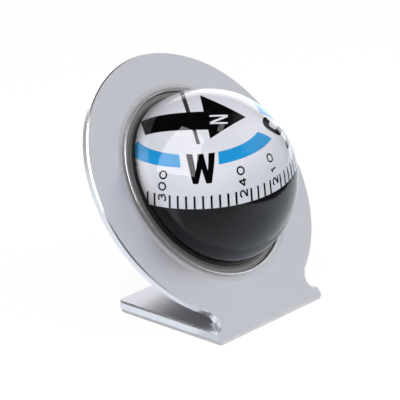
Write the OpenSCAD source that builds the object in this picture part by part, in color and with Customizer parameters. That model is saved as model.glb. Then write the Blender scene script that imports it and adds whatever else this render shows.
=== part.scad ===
// Dashboard ball compass: a leaning face plate on a stick-down foot carries a sealed,
// fluid-filled capsule. Inside it a weighted bowl hangs level in a gimbal and a
// magnetised dial turns on a needle above it.
// Millimetres, +Z up, +X to the right. The origin is the middle of the foot's underside.

/* [Face plate] */
// Radius of the round face plate
plate_r = 35; // [31:0.5:42]
// Thickness of the face plate
plate_t = 2; // [1.4:0.1:2.6]
// Lean of the plate from the horizontal, in degrees
lean = 54.6; // [52:0.2:62]
// Distance up the plate from its bottom front edge to the middle of the disc
centre_up = 38.3; // [37:0.1:44]
// Chamfer round the rim of the disc
rim_chamfer = 0.3; // [0.1:0.1:0.6]
// Radius of the hollow curve that joins the disc to the foot
neck_r = 3.3; // [2:0.1:4]
// Height up the plate of the middle of that hollow curve
neck_up = 5.8; // [4.6:0.1:6.4]

/* [Foot] */
// Width of the foot
foot_w = 39.4; // [34:0.2:46]
// Depth of the foot from its front edge to its rear edge
foot_d = 34.2; // [28:0.2:40]
// Thickness of the foot
foot_t = 2; // [1.4:0.1:2.6]
// Radius of the foot's two rear corners
foot_corner_r = 2.4; // [0.5:0.1:5]
// Chamfer along the foot's upper edges
foot_chamfer = 0.4; // [0.1:0.1:0.8]
// Radius of the fillet inside the fold
fold_r = 1.2; // [1:0.1:3.4]
// Thickness of the self-adhesive foam pad
pad_t = 0.9; // [0.4:0.1:1.6]
// Distance that the pad's edge lies inside the foot's edge
pad_inset = 0.3; // [0.1:0.1:2]

/* [Collar] */
// Clearance between the hole in the plate and the dome's shoulder
collar_gap = 0.2; // [0.1:0.05:0.5]
// Width of the raised bead round the hole
collar_w = 2.6; // [1.4:0.1:3]
// Height of the bead above the face
collar_h = 0.6; // [0.3:0.1:1.2]

/* [Capsule] */
// Outer radius of the clear dome
dome_r = 22.3; // [21.8:0.1:24]
// Wall of the clear dome
dome_wall = 1.5; // [1:0.1:1.8]
// Height of the dome's centre in front of the face
dome_forward = 0.6; // [0:0.1:2]
// Width of the flat shoulder round the foot of the dome
shoulder_w = 1.7; // [1.2:0.1:2.4]
// Depth of that shoulder below the face
shoulder_drop = 0.2; // [0:0.1:0.6]
// Width of the joint flange outside the rear bowl
flange_w = 4.2; // [3.8:0.1:4.8]
// Thickness of each flange
flange_t = 2; // [1.6:0.1:2.4]
// Wall of the rear bowl
rear_wall = 2; // [1.6:0.1:2.4]
// Thickness of the adhesive ring between the plate and the flange
mount_ring_t = 0.5; // [0.3:0.1:1]
// Thickness of the clamp ring behind the flange
clamp_t = 1.5; // [1:0.1:1.8]
// Number of clamp screws
clamp_screw_n = 6; // [4:1:10]
// Shank radius of a clamp screw
clamp_screw_r = 0.8; // [0.6:0.1:1]
// Width of the joint gasket
gasket_w = 1.3; // [0.8:0.1:1.5]
// Depth of the joint gasket
gasket_t = 1; // [0.6:0.1:1.3]

/* [Diaphragm] */
// Depth of the capsule's flat back behind the face
back_depth = 22.2; // [21.8:0.1:23]
// Radius of the hole that leads to the diaphragm
port_r = 6; // [4:0.1:6.5]
// Width of the diaphragm's clamped edge
diaphragm_edge = 1.6; // [1.2:0.1:2]
// Thickness of the rubber diaphragm
diaphragm_t = 0.8; // [0.5:0.1:1]
// Radius of the diaphragm's cover
cover_r = 10.5; // [10:0.1:12]
// Thickness of the diaphragm's cover
cover_t = 2.4; // [2:0.1:3]
// Number of cover screws
cover_screw_n = 4; // [3:1:6]
// Shank radius of the small screws
small_screw_r = 0.6; // [0.4:0.05:0.65]

/* [Filler] */
// Direction of the filler plug, in degrees up from straight back
filler_angle = 50; // [40:1:60]
// Shank radius of the filler plug
filler_r = 1.5; // [1:0.1:2]
// Head radius of the filler plug
filler_head_r = 3; // [2.4:0.1:3.4]

/* [Gimbal] */
// Height of the gimbal centre up the plate from the middle of the disc
ball_up = 0.5; // [-0.5:0.1:1]
// Distance of the gimbal centre behind the face
ball_back = 1.5; // [0.5:0.1:2.5]
// Fore and aft tilt of the gimbal at rest, in degrees
pitch_rest = 1.1; // [-3:0.1:3]
// Sideways tilt of the bowl at rest, in degrees
roll_rest = -4.8; // [-6:0.1:6]
// Outer radius of the gimbal ring
ring_r = 6; // [5.4:0.1:6.2]
// Width of the gimbal ring
ring_w = 1.6; // [1.2:0.1:2]
// Half height of the gimbal ring
ring_h = 1.1; // [0.9:0.05:1.4]
// Radius of the gimbal pins
pin_r = 0.55; // [0.4:0.05:0.7]
// Running clearance round a gimbal pin
pin_clear = 0.06; // [0.03:0.01:0.1]
// Gap between the gimbal ring and the ears beside it
ear_gap = 0.6; // [0.3:0.1:0.8]
// Thickness of the yoke's arms and the bridge's ears
ear_t = 1.6; // [1.2:0.1:2]
// Half width of the arms and ears
ear_half = 1.6; // [1.3:0.1:1.8]
// Radius of the yoke's stem
stem_r = 2; // [1.5:0.1:2.2]
// Depth of the yoke's foot below the gimbal centre
yoke_depth = 21; // [20:0.1:21.4]

/* [Weighted bowl] */
// Outer radius of the black bowl and of the dial's skirt
ball_r = 17.4; // [16.8:0.1:18]
// Wall of the black bowl
bowl_wall = 1.2; // [0.8:0.1:1.4]
// Height of the bowl's rim above the gimbal centre
bowl_rim = 0.4; // [0:0.1:0.5]
// Radius of the opening in the bottom of the bowl
bowl_hole_r = 9.8; // [9.4:0.1:10.4]
// Height of the ballast ring
ballast_h = 3.4; // [2:0.1:4]
// Width of the bridge
bridge_w = 5; // [4.4:0.1:6]
// Height of the bridge's underside above the gimbal centre
bridge_z = 4; // [3.6:0.1:4.4]
// Thickness of the bridge
bridge_t = 1.5; // [1:0.1:1.7]
// Depth of the bridge's feet below the gimbal centre
bridge_foot = 3; // [2.4:0.1:4]

/* [Dial] */
// Height of the dial's crown above the gimbal centre
dial_h = 12.1; // [11.7:0.1:12.6]
// Wall of the dial
dial_wall = 0.8; // [0.6:0.1:1]
// Gap between the dial's skirt and the bowl's rim
dial_gap = 0.3; // [0.2:0.05:0.6]
// Direction of the dial's north mark at rest, in degrees from straight back
heading = 43; // [0:1:359]
// Length of a bar magnet
magnet_l = 13; // [10:0.5:14]
// Width and depth of a bar magnet
magnet_s = 2; // [1.4:0.1:2.2]
// Distance from the needle to the middle of each magnet
magnet_x = 4.5; // [3.6:0.1:6]
// Inner radius of the float ring
float_r = 9.4; // [9.2:0.1:10.6]
// Depth of the float ring
float_h = 4; // [2:0.1:4.4]

/* [Hidden] */
$fn = 96;
// gap between two pieces of one body that nest
fit = 0.05;
// overlap that keeps a cut clean
over = 1;
// overlap where two parts of one piece join
sink = 0.1;

// places along the plate's normal, measured from the face, positive to the front
plate_back = -plate_t;
flange_front = plate_back - mount_ring_t;
joint_w = flange_front - flange_t;
bowl_flange_back = joint_w - flange_t;
clamp_back = bowl_flange_back - clamp_t;
back_wall = -back_depth + rear_wall;

// radii of the capsule, with the clearances between its rings
mount_ring_gap = 0.4;
gasket_edge = 1.2;
clamp_gap = 0.3;
clamp_screw_edge = 0.3;
clamp_blind = 0.7;
cavity_r = dome_r - dome_wall;
rear_r = cavity_r + rear_wall;
flange_r = rear_r + flange_w;
shoulder_r = dome_r + shoulder_w;
hole_r = shoulder_r + collar_gap;
mount_ring_in = hole_r + mount_ring_gap;
gasket_in = cavity_r + gasket_edge;
clamp_in = rear_r + clamp_gap;
clamp_head_r = clamp_screw_r * 1.9;
clamp_head_h = clamp_screw_r * 1.1;
clamp_screw_pcr = flange_r - clamp_head_r - clamp_screw_edge;
clamp_bite = flange_t - clamp_blind;

// diaphragm and its cover
diaphragm_r = port_r + diaphragm_edge;
cover_screw_pcr = (diaphragm_r + cover_r) / 2;
small_head_r = small_screw_r * 1.9;
small_head_h = small_screw_r * 1.15;
cover_blind = 0.5;
cover_bite = rear_wall - cover_blind;
vent_r = 0.8;

// filler boss, measured from the middle of the rear bowl
filler_boss_edge = 0.6;
filler_rise = 1.2;
filler_reach = 0.4;
filler_boss_r = filler_head_r + filler_boss_edge;
filler_seat = rear_r + filler_rise;
filler_washer_t = 0.5;
filler_head_h = 1.5;
filler_in = cavity_r - filler_reach;
filler_slot_w = 0.7;

// gimbal, measured from its centre
arm_in = ring_r + ear_gap;
arm_out = arm_in + ear_t;
arm_top = ear_half;
crossbar_gap = 1;
crossbar_top = -ring_r - crossbar_gap;
crossbar_t = 1.6;
yoke_foot_r = 5.5;
yoke_foot_t = 1.4;
yoke_boss_edge = 0.6;
yoke_boss_h = 4;
yoke_screw_x = 3.9;
yoke_bite = 1.2;
pin_inset = 0.2;
pin_in = ring_r - ring_w + pin_inset;
pin_out = arm_out - pin_inset;

// weighted bowl, measured from the gimbal centre
bowl_in = ball_r - bowl_wall;
leg_gap = 0.9;
leg_t = 1.8;
leg_foot_t = 1.2;
head_gap = 0.2;
ledge_edge = 1.2;
ledge_side = 0.5;
ledge_t = 2.5;
leg_out = bowl_in - leg_gap;
bridge_screw_y = leg_out - leg_t - small_head_r - head_gap;
ledge_in = bridge_screw_y - ledge_edge;
bridge_bite = 1.8;
ballast_gap = 0.4;
ballast_in = bowl_hole_r + ballast_gap;
ballast_low = -sqrt(pow(bowl_in - fit, 2) - pow(ballast_in, 2));

// dial, measured from the gimbal centre
skirt_z = bowl_rim + dial_gap;
crown_in = dial_h - dial_wall;
float_edge = 2.6;
float_drop = 0.8;
carrier_t = 0.6;
carrier_drop = 1.7;
carrier_arm = 2.4;
carrier_hub = 1;
carrier_top = crown_in - carrier_drop;
carrier_z = carrier_top - carrier_t;
holder_r = 1.35;
holder_flange_r = 2;
holder_flange_t = 0.5;
holder_gap = 0.4;
holder_z = carrier_z - holder_flange_t;
holder_top = crown_in - holder_gap;
cup_r = 0.65;
cup_rise = 0.3;
cup_z = holder_z + cup_rise;
cup_h = 1;
cup_dimple_r = 0.45;
cup_dimple_h = 0.5;
needle_r = 0.3;
needle_tip = cup_z + cup_dimple_h - fit;
needle_cone = 0.6;
needle_reach = 1.7;
post_r = 1.2;
post_top = needle_tip - needle_reach;
post_base = bridge_z + bridge_t;
squareness = 4;

// the pad, measured back from the line where the face would meet the ground
pad_front = pad_t / tan(lean) + 0.1;
pad_rear = foot_d - pad_inset;
pad_mid = (pad_front + pad_rear) / 2;
foot_top = pad_t + foot_t;

// the middle of the gimbal in the plate's own frame
ball_v = centre_up + ball_up;

// moves the line where the face would meet the ground to its place before the pad's middle
module from_fold() {
    translate([0, -pad_mid, 0]) children();
}

// plate frame: X to the right, Y up the plate from the ground, Z out of the face
module on_plate() {
    from_fold() rotate([lean, 0, 0]) children();
}

module at_disc() {
    on_plate() translate([0, centre_up, 0]) children();
}

module at_gimbal() {
    from_fold() translate([0, ball_v * cos(lean) + ball_back * sin(lean),
        ball_v * sin(lean) - ball_back * cos(lean)]) children();
}

module ring_pose() {
    at_gimbal() rotate([pitch_rest, 0, 0]) children();
}

module bowl_pose() {
    ring_pose() rotate([0, roll_rest, 0]) children();
}

module card_pose() {
    bowl_pose() rotate([0, 0, heading]) children();
}

// a ring whose lower face is at z
module ring(r_out, r_in, z, h) {
    translate([0, 0, z]) difference() {
        cylinder(r = r_out, h = h);
        translate([0, 0, -over]) cylinder(r = r_in, h = h + 2 * over);
    }
}

// copies evenly spaced on a circle
module round_pattern(n, r, start = 0) {
    for (i = [0 : n - 1]) rotate([0, 0, start + i * 360 / n]) translate([r, 0, 0]) children();
}

// a pan-head screw: its head's underside is at z = 0 and its shank points along -Z
module screw(r, length, head_r, head_h) {
    slot_w = head_r * 0.3;
    difference() {
        union() {
            translate([0, 0, -length]) cylinder(r = r, h = length + sink);
            cylinder(r = head_r, h = head_h);
        }
        translate([-head_r - over, -slot_w / 2, head_h * 0.5])
            cube([2 * (head_r + over), slot_w, head_h]);
    }
}

// half width of the plate's outline where the hollow curve leaves the disc
function neck_x() = sqrt(pow(plate_r + neck_r, 2) - pow(centre_up - neck_up, 2));

// front outline of the plate: disc, hollow neck and the foot's width at the bottom
module plate_outline() {
    corner = min(0.8, neck_up - neck_r);
    tab_x = foot_w / 2 - corner;
    reach = min(neck_r, abs(neck_x() - tab_x));
    tab_top = neck_up - sqrt(neck_r * neck_r - reach * reach);
    tangent = plate_r / (plate_r + neck_r);
    translate([0, centre_up]) circle(r = plate_r - rim_chamfer, $fn = 180);
    difference() {
        union() {
            translate([-neck_x() * tangent, neck_up - over])
                square([2 * neck_x() * tangent, over + (centre_up - neck_up) * (1 - tangent)]);
            translate([-tab_x, 0]) square([2 * tab_x, neck_up]);
        }
        for (s = [-1, 1]) translate([s * neck_x(), neck_up]) circle(r = neck_r);
    }
    translate([-foot_w / 2, 0]) square([foot_w, tab_top - corner]);
    for (s = [-1, 1]) translate([s * tab_x, tab_top - corner]) circle(r = corner);
}

// outline of the foot, its front edge on y = front
module foot_outline(inset = 0, front = 0) {
    w = foot_w - 2 * inset;
    d = foot_d - inset - front;
    r = foot_corner_r;
    translate([-w / 2, front]) square([w, d - r]);
    translate([-w / 2 + r, front]) square([w - 2 * r, d]);
    for (s = [-1, 1]) translate([s * (w / 2 - r), front + d - r]) circle(r = r);
}

// the foot before its front edge is cut to the face, with chamfered upper edges
module foot_slab() {
    c = foot_chamfer;
    half = foot_w / 2;
    difference() {
        intersection() {
            translate([0, 0, pad_t]) linear_extrude(foot_t + over) foot_outline();
            translate([0, foot_d + over, 0]) rotate([90, 0, 0]) linear_extrude(foot_d + 2 * over)
                polygon([[-half - over, 0], [half + over, 0], [half + over, foot_top - c - over],
                    [half - c, foot_top], [-half + c, foot_top], [-half - over, foot_top - c - over]]);
        }
        translate([-half - over, foot_d - c, foot_top]) rotate([-45, 0, 0]) translate([0, -over, 0])
            cube([foot_w + 2 * over, 2 * over + 2 * c, 2 * over]);
    }
}

// the solid fillet inside the fold, as a profile in the plane across the fold
module fold_profile() {
    inner_y = (plate_t + foot_top * cos(lean)) / sin(lean);
    run = fold_r / tan(lean / 2);
    difference() {
        polygon([[inner_y - plate_t, foot_top - foot_t / 2], [inner_y + run, foot_top - foot_t / 2],
            [inner_y + run, foot_top], [inner_y + run * cos(lean), foot_top + run * sin(lean)],
            [inner_y + run * cos(lean) - plate_t / 2, foot_top + run * sin(lean)]]);
        translate([inner_y + run, foot_top + fold_r]) circle(r = fold_r);
    }
}

// profile of the bead round the hole: a round crest at the hole, and a hollow flank that
// starts a little inside the crest and ends a little under the face
module collar_profile() {
    crest_r = collar_h * 0.4;
    crest_x = hole_r + crest_r - 0.1;
    crest_z = collar_h - crest_r;
    sink = collar_h / 15;
    reach = crest_r - sink;
    rise = crest_z + sink;
    run = hole_r + collar_w - crest_x;
    flank_r = (run * run + rise * rise - reach * reach) / (2 * (rise + reach));
    low = plate_back / 2;
    translate([hole_r - over / 2, low])
        square([crest_x - hole_r + (over + crest_r) / 2, crest_z - low]);
    translate([crest_x, crest_z]) circle(r = crest_r);
    difference() {
        translate([crest_x, low]) square([run, crest_z + crest_r * 0.6 - low]);
        translate([crest_x + run, flank_r - sink]) circle(r = flank_r, $fn = 360);
    }
}

module stand_plate() color([0.76, 0.77, 0.81]) {
    fold_w = 2 * (neck_x() - neck_r) - 0.6;
    difference() {
        union() {
            on_plate() translate([0, 0, plate_back]) linear_extrude(plate_t) plate_outline();
            at_disc() rotate_extrude($fn = 180) polygon([[hole_r - over, 0],
                [plate_r - rim_chamfer, 0], [plate_r, -rim_chamfer],
                [plate_r, plate_back + rim_chamfer], [plate_r - rim_chamfer, plate_back],
                [hole_r - over, plate_back]]);
            at_disc() rotate_extrude() collar_profile();
            from_fold() foot_slab();
            from_fold() translate([-fold_w / 2, 0, 0]) rotate([90, 0, 90])
                linear_extrude(fold_w) fold_profile();
        }
        at_disc() translate([0, 0, plate_back - over])
            cylinder(r = hole_r, h = plate_t + collar_h + 2 * over);
        from_fold() translate([-plate_r, -foot_d, pad_t - foot_d])
            cube([2 * plate_r, 2 * foot_d, foot_d]);
        on_plate() translate([-foot_w, -foot_w, 0]) cube([2 * foot_w, foot_w + neck_up, foot_w]);
    }
}

module foot_pad() color([0.93, 0.93, 0.95])
    from_fold() linear_extrude(pad_t) foot_outline(pad_inset, pad_front);

module mount_ring() color([0.15, 0.15, 0.16])
    at_disc() ring(flange_r, mount_ring_in, flange_front, mount_ring_t);

module front_dome() color([0.85, 0.9, 0.95, 0.35]) at_disc() difference() {
    fillet = 0.5;
    shoulder_top = -shoulder_drop;
    union() {
        translate([0, 0, dome_forward]) sphere(r = dome_r);
        translate([0, 0, joint_w]) cylinder(r = dome_r, h = dome_forward - joint_w);
        translate([0, 0, joint_w]) cylinder(r = shoulder_r, h = shoulder_top - joint_w);
        translate([0, 0, joint_w]) cylinder(r = flange_r, h = flange_t);
        rotate_extrude() translate([dome_r - fit, shoulder_top - fit]) difference() {
            square(fillet + fit);
            translate([fillet + fit, fillet + fit]) circle(r = fillet, $fn = 32);
        }
    }
    translate([0, 0, dome_forward]) sphere(r = cavity_r);
    translate([0, 0, joint_w - over]) cylinder(r = cavity_r, h = dome_forward - joint_w + over);
    translate([0, 0, joint_w - dome_r * 2]) cylinder(r = dome_r * 2, h = dome_r * 2);
    round_pattern(clamp_screw_n, clamp_screw_pcr) translate([0, 0, joint_w - over])
        cylinder(r = clamp_screw_r + fit, h = clamp_bite + over + fit, $fn = 32);
}

module dome_gasket() color([0.1, 0.1, 0.1])
    at_disc() ring(gasket_in + gasket_w - fit, gasket_in + fit, joint_w - gasket_t + fit, gasket_t - fit);

// the rear bowl in the disc's frame, before its bores
module rear_bowl_body() {
    intersection() {
        translate([0, 0, joint_w]) sphere(r = rear_r);
        translate([0, 0, -back_depth]) cylinder(r = rear_r + over, h = back_depth + joint_w);
    }
    translate([0, 0, bowl_flange_back]) cylinder(r = flange_r, h = flange_t);
    translate([0, 0, joint_w]) rotate([filler_angle - 180, 0, 0])
        translate([0, 0, rear_r * 0.85]) cylinder(r = filler_boss_r, h = filler_seat - rear_r * 0.85);
}

module rear_bowl() color([0.05, 0.05, 0.06]) difference() {
    union() {
        at_disc() difference() {
            rear_bowl_body();
            intersection() {
                translate([0, 0, joint_w]) sphere(r = cavity_r);
                translate([0, 0, back_wall]) cylinder(r = rear_r, h = back_depth + dome_r);
            }
            translate([0, 0, -back_depth - over]) cylinder(r = port_r, h = back_depth);
            ring(gasket_in + gasket_w, gasket_in, joint_w - gasket_t, gasket_t + over);
        }
        intersection() {
            at_gimbal() translate([0, 0, -yoke_depth - yoke_boss_h])
                cylinder(r = yoke_foot_r + yoke_boss_edge, h = yoke_boss_h);
            at_disc() translate([0, 0, joint_w]) sphere(r = rear_r - 0.4);
        }
    }
    at_disc() round_pattern(clamp_screw_n, clamp_screw_pcr) translate([0, 0, bowl_flange_back - over])
        cylinder(r = clamp_screw_r + fit, h = flange_t + 2 * over, $fn = 32);
    at_disc() round_pattern(cover_screw_n, cover_screw_pcr, 45) translate([0, 0, -back_depth - over])
        cylinder(r = small_screw_r + fit, h = cover_bite + over + fit, $fn = 32);
    at_disc() translate([0, 0, joint_w]) rotate([filler_angle - 180, 0, 0])
        translate([0, 0, filler_in - over]) cylinder(r = filler_r + fit, h = rear_r, $fn = 48);
    at_gimbal() for (s = [-1, 1]) translate([s * yoke_screw_x, 0, -yoke_depth - yoke_bite - fit])
        cylinder(r = small_screw_r + fit, h = yoke_bite + over, $fn = 32);
}

module clamp_ring() color([0.08, 0.08, 0.09]) at_disc() difference() {
    ring(flange_r, clamp_in, clamp_back, clamp_t);
    round_pattern(clamp_screw_n, clamp_screw_pcr) translate([0, 0, clamp_back - over])
        cylinder(r = clamp_screw_r + fit, h = clamp_t + 2 * over, $fn = 32);
}

module clamp_screws() color([0.7, 0.7, 0.72]) at_disc()
    round_pattern(clamp_screw_n, clamp_screw_pcr) translate([0, 0, clamp_back]) rotate([180, 0, 0])
        screw(clamp_screw_r, joint_w - clamp_back + clamp_bite, clamp_head_r, clamp_head_h, $fn = 32);

module diaphragm() color([0.12, 0.12, 0.12]) at_disc() {
    ring_in = port_r * 0.55;
    translate([0, 0, -back_depth - diaphragm_t]) cylinder(r = diaphragm_r, h = diaphragm_t);
    translate([0, 0, -back_depth]) rotate_extrude() translate([ring_in, 0]) intersection() {
        circle(r = port_r * 0.2, $fn = 32);
        translate([-port_r, 0]) square([2 * port_r, port_r]);
    }
}

module diaphragm_cover() color([0.07, 0.07, 0.08]) at_disc() difference() {
    edge = 0.5;
    translate([0, 0, -back_depth - cover_t]) rotate_extrude() polygon([[0, 0],
        [cover_r - edge, 0], [cover_r, edge], [cover_r, cover_t], [0, cover_t]]);
    translate([0, 0, -back_depth - diaphragm_t]) cylinder(r = diaphragm_r + fit, h = diaphragm_t + over);
    translate([0, 0, -back_depth - cover_t + 1]) cylinder(r = port_r, h = cover_t);
    translate([0, 0, -back_depth - cover_t - over]) cylinder(r = vent_r, h = cover_t, $fn = 32);
    round_pattern(cover_screw_n, cover_screw_pcr, 45) translate([0, 0, -back_depth - cover_t - over])
        cylinder(r = small_screw_r + fit, h = cover_t + 2 * over, $fn = 32);
}

module cover_screws() color([0.7, 0.7, 0.72]) at_disc()
    round_pattern(cover_screw_n, cover_screw_pcr, 45) translate([0, 0, -back_depth - cover_t])
        rotate([180, 0, 0])
            screw(small_screw_r, cover_t + cover_bite, small_head_r, small_head_h, $fn = 32);

// places its children at the filler's seat, +Z pointing out of the capsule
module at_filler() {
    at_disc() translate([0, 0, joint_w]) rotate([filler_angle - 180, 0, 0])
        translate([0, 0, filler_seat]) children();
}

module filler_screw() color([0.72, 0.6, 0.3]) at_filler() translate([0, 0, filler_washer_t])
    difference() {
        union() {
            cylinder(r = filler_head_r, h = filler_head_h);
            translate([0, 0, filler_in - filler_seat])
                cylinder(r = filler_r, h = filler_seat - filler_in + sink, $fn = 48);
        }
        translate([-filler_head_r - over, -filler_slot_w / 2, filler_head_h * 0.5])
            cube([2 * (filler_head_r + over), filler_slot_w, filler_head_h]);
    }

module filler_washer() color([0.2, 0.2, 0.2])
    at_filler() ring(filler_head_r, filler_r + fit, 0, filler_washer_t);

module yoke() color([0.72, 0.6, 0.3]) at_gimbal() difference() {
    union() {
        for (s = [-1, 1]) translate([s * (arm_in + arm_out) / 2, 0, (crossbar_top + arm_top) / 2])
            cube([ear_t, 2 * ear_half, arm_top - crossbar_top], center = true);
        translate([-arm_out, -ear_half, crossbar_top - crossbar_t])
            cube([2 * arm_out, 2 * ear_half, crossbar_t]);
        translate([0, 0, -yoke_depth]) cylinder(r = stem_r, h = yoke_depth + crossbar_top - 2 * sink);
        translate([0, 0, -yoke_depth]) cylinder(r = yoke_foot_r, h = yoke_foot_t);
    }
    rotate([0, 90, 0]) cylinder(r = pin_r + pin_clear, h = 4 * ring_r, center = true, $fn = 48);
    for (s = [-1, 1]) translate([s * yoke_screw_x, 0, -yoke_depth - over])
        cylinder(r = small_screw_r + fit, h = yoke_foot_t + 2 * over, $fn = 32);
}

module yoke_screws() color([0.7, 0.7, 0.72]) at_gimbal()
    for (s = [-1, 1]) translate([s * yoke_screw_x, 0, -yoke_depth + yoke_foot_t])
        screw(small_screw_r, yoke_foot_t + yoke_bite, small_head_r, small_head_h, $fn = 32);

module gimbal_ring() color([0.78, 0.65, 0.35]) ring_pose() difference() {
    ring(ring_r, ring_r - ring_w, -ring_h, 2 * ring_h);
    for (a = [0, 90]) rotate([0, 90, a])
        cylinder(r = pin_r + fit / 2, h = 4 * ring_r, center = true, $fn = 48);
}

module gimbal_pins() color([0.7, 0.7, 0.72]) ring_pose()
    for (a = [0 : 90 : 270]) rotate([0, 0, a]) rotate([0, 90, 0])
        translate([0, 0, pin_in]) cylinder(r = pin_r, h = pin_out - pin_in, $fn = 48);

module inner_bowl() color([0.03, 0.03, 0.035]) bowl_pose() difference() {
    union() {
        difference() {
            sphere(r = ball_r);
            sphere(r = bowl_in);
        }
        intersection() {
            sphere(r = bowl_in + bowl_wall / 2);
            for (s = [-1, 1]) translate([-bridge_w / 2 - ledge_side, s > 0 ? ledge_in : -ball_r,
                -bridge_foot - ledge_t]) cube([bridge_w + 2 * ledge_side, ball_r - ledge_in, ledge_t]);
        }
    }
    translate([0, 0, bowl_rim]) cylinder(r = ball_r + over, h = ball_r);
    translate([0, 0, -ball_r - over]) cylinder(r = bowl_hole_r, h = ball_r);
    for (s = [-1, 1]) translate([0, s * bridge_screw_y, -bridge_foot - bridge_bite - fit])
        cylinder(r = small_screw_r + fit, h = bridge_bite + over, $fn = 32);
}

module bridge() color([0.1, 0.1, 0.11]) bowl_pose() difference() {
    union() {
        translate([-bridge_w / 2, -leg_out, bridge_z]) cube([bridge_w, 2 * leg_out, bridge_t]);
        for (s = [0, 180]) rotate([0, 0, s]) {
            translate([-bridge_w / 2, leg_out - leg_t, -bridge_foot])
                cube([bridge_w, leg_t, bridge_z + bridge_foot + bridge_t]);
            translate([-bridge_w / 2, ledge_in, -bridge_foot])
                cube([bridge_w, leg_out - ledge_in, leg_foot_t]);
            translate([-ear_half, arm_in, -ear_half])
                cube([2 * ear_half, ear_t, bridge_z + ear_half + bridge_t / 2]);
        }
    }
    rotate([90, 0, 0]) cylinder(r = pin_r + pin_clear, h = 2 * arm_out + over, center = true, $fn = 48);
    for (s = [-1, 1]) translate([0, s * bridge_screw_y, -bridge_foot - over])
        cylinder(r = small_screw_r + fit, h = leg_foot_t + 2 * over, $fn = 32);
    translate([0, 0, bridge_z - over]) cylinder(r = post_r * 0.6 + fit, h = bridge_t + 2 * over, $fn = 48);
}

module bridge_screws() color([0.7, 0.7, 0.72]) bowl_pose()
    for (s = [-1, 1]) translate([0, s * bridge_screw_y, -bridge_foot + leg_foot_t])
        screw(small_screw_r, leg_foot_t + bridge_bite, small_head_r, small_head_h, $fn = 32);

module ballast_ring() color([0.72, 0.6, 0.3]) bowl_pose() rotate_extrude() intersection() {
    circle(r = bowl_in - fit, $fn = 180);
    translate([ballast_in, ballast_low]) square([ball_r, ballast_h]);
}

module pivot_post() color([0.72, 0.6, 0.3]) bowl_pose() difference() {
    union() {
        translate([0, 0, post_base]) cylinder(r = post_r, h = post_top - post_base, $fn = 48);
        translate([0, 0, bridge_z]) cylinder(r = post_r * 0.6, h = bridge_t + sink, $fn = 48);
    }
    translate([0, 0, post_base]) cylinder(r = needle_r + fit / 2, h = post_top, $fn = 32);
}

module pivot_pin() color([0.7, 0.7, 0.72]) bowl_pose() {
    translate([0, 0, post_base + fit]) rotate_extrude($fn = 32) polygon([[0, 0], [needle_r, 0],
        [needle_r, needle_tip - needle_cone - post_base - fit], [0, needle_tip - post_base - fit]]);
}

// a quarter of a squared-off ellipse in the dial's section, from its skirt to its crown
function squircle(a, h) = [for (t = [0 : 5 : 90])
    [a * pow(cos(t), 2 / squareness), h * pow(sin(t), 2 / squareness)]];

// the same section as a closed shape standing on z
module squircle_section(a, h, z) intersection() {
    polygon(concat([[0, 0]], squircle(a, h)));
    translate([0, z]) square([a + over, h]);
}

module dial_cap() color([0.93, 0.93, 0.94]) card_pose() {
    difference() {
        union() {
            rotate_extrude() difference() {
                squircle_section(ball_r, dial_h, skirt_z);
                polygon(concat([[0, -over], [ball_r - dial_wall, -over]],
                    squircle(ball_r - dial_wall, crown_in)));
            }
            translate([0, 0, carrier_top])
                cylinder(r = holder_flange_r, h = crown_in - carrier_top + 2 * sink);
        }
        translate([0, 0, carrier_top - over])
            cylinder(r = holder_r + fit, h = holder_top - carrier_top + over + fit, $fn = 48);
    }
}

module dial_float() color([0.85, 0.82, 0.7]) card_pose() rotate_extrude() intersection() {
    polygon(concat([[0, 0]], squircle(ball_r - dial_wall - fit, crown_in - fit)));
    translate([float_r, crown_in - float_h - float_drop])
        square([ball_r - dial_wall - float_edge - float_r, float_h]);
}

module magnet_carrier() color([0.78, 0.65, 0.35]) card_pose() difference() {
    union() {
        translate([0, 0, carrier_z]) cylinder(r = holder_flange_r + carrier_hub, h = carrier_t);
        for (s = [-1, 1]) translate([-magnet_x - magnet_s / 2, s * magnet_l / 4 - carrier_arm / 2, carrier_z])
            cube([2 * magnet_x + magnet_s, carrier_arm, carrier_t]);
        for (s = [-1, 1]) translate([s * magnet_x - magnet_s / 2, -magnet_l / 2, carrier_z])
            cube([magnet_s, magnet_l, carrier_t]);
        translate([-carrier_arm / 2, -magnet_l / 4, carrier_z])
            cube([carrier_arm, magnet_l / 2, carrier_t]);
    }
    translate([0, 0, carrier_z - over]) cylinder(r = holder_r + fit, h = carrier_t + 2 * over, $fn = 48);
}

module magnets() color([0.4, 0.4, 0.42]) card_pose()
    for (s = [-1, 1]) translate([s * magnet_x - magnet_s / 2, -magnet_l / 2, carrier_z - magnet_s])
        cube([magnet_s, magnet_l, magnet_s]);

module jewel_holder() color([0.72, 0.6, 0.3]) card_pose() difference() {
    union() {
        translate([0, 0, holder_z]) cylinder(r = holder_flange_r, h = carrier_z - holder_z, $fn = 48);
        translate([0, 0, holder_z]) cylinder(r = holder_r, h = holder_top - holder_z, $fn = 48);
    }
    translate([0, 0, holder_z - over]) cylinder(r = cup_r + fit, h = cup_z + cup_h - holder_z + over + fit,
        $fn = 32);
}

module jewel_cup() color([0.75, 0.2, 0.3]) card_pose() difference() {
    translate([0, 0, cup_z]) cylinder(r = cup_r, h = cup_h, $fn = 32);
    translate([0, 0, cup_z - over]) cylinder(r = cup_dimple_r, h = cup_dimple_h + over, $fn = 32);
}

stand_plate();
foot_pad();
mount_ring();
front_dome();
dome_gasket();
rear_bowl();
clamp_ring();
clamp_screws();
diaphragm();
diaphragm_cover();
cover_screws();
filler_screw();
filler_washer();
yoke();
yoke_screws();
gimbal_ring();
gimbal_pins();
inner_bowl();
bridge();
bridge_screws();
ballast_ring();
pivot_post();
pivot_pin();
dial_cap();
dial_float();
magnet_carrier();
magnets();
jewel_holder();
jewel_cup();
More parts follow.
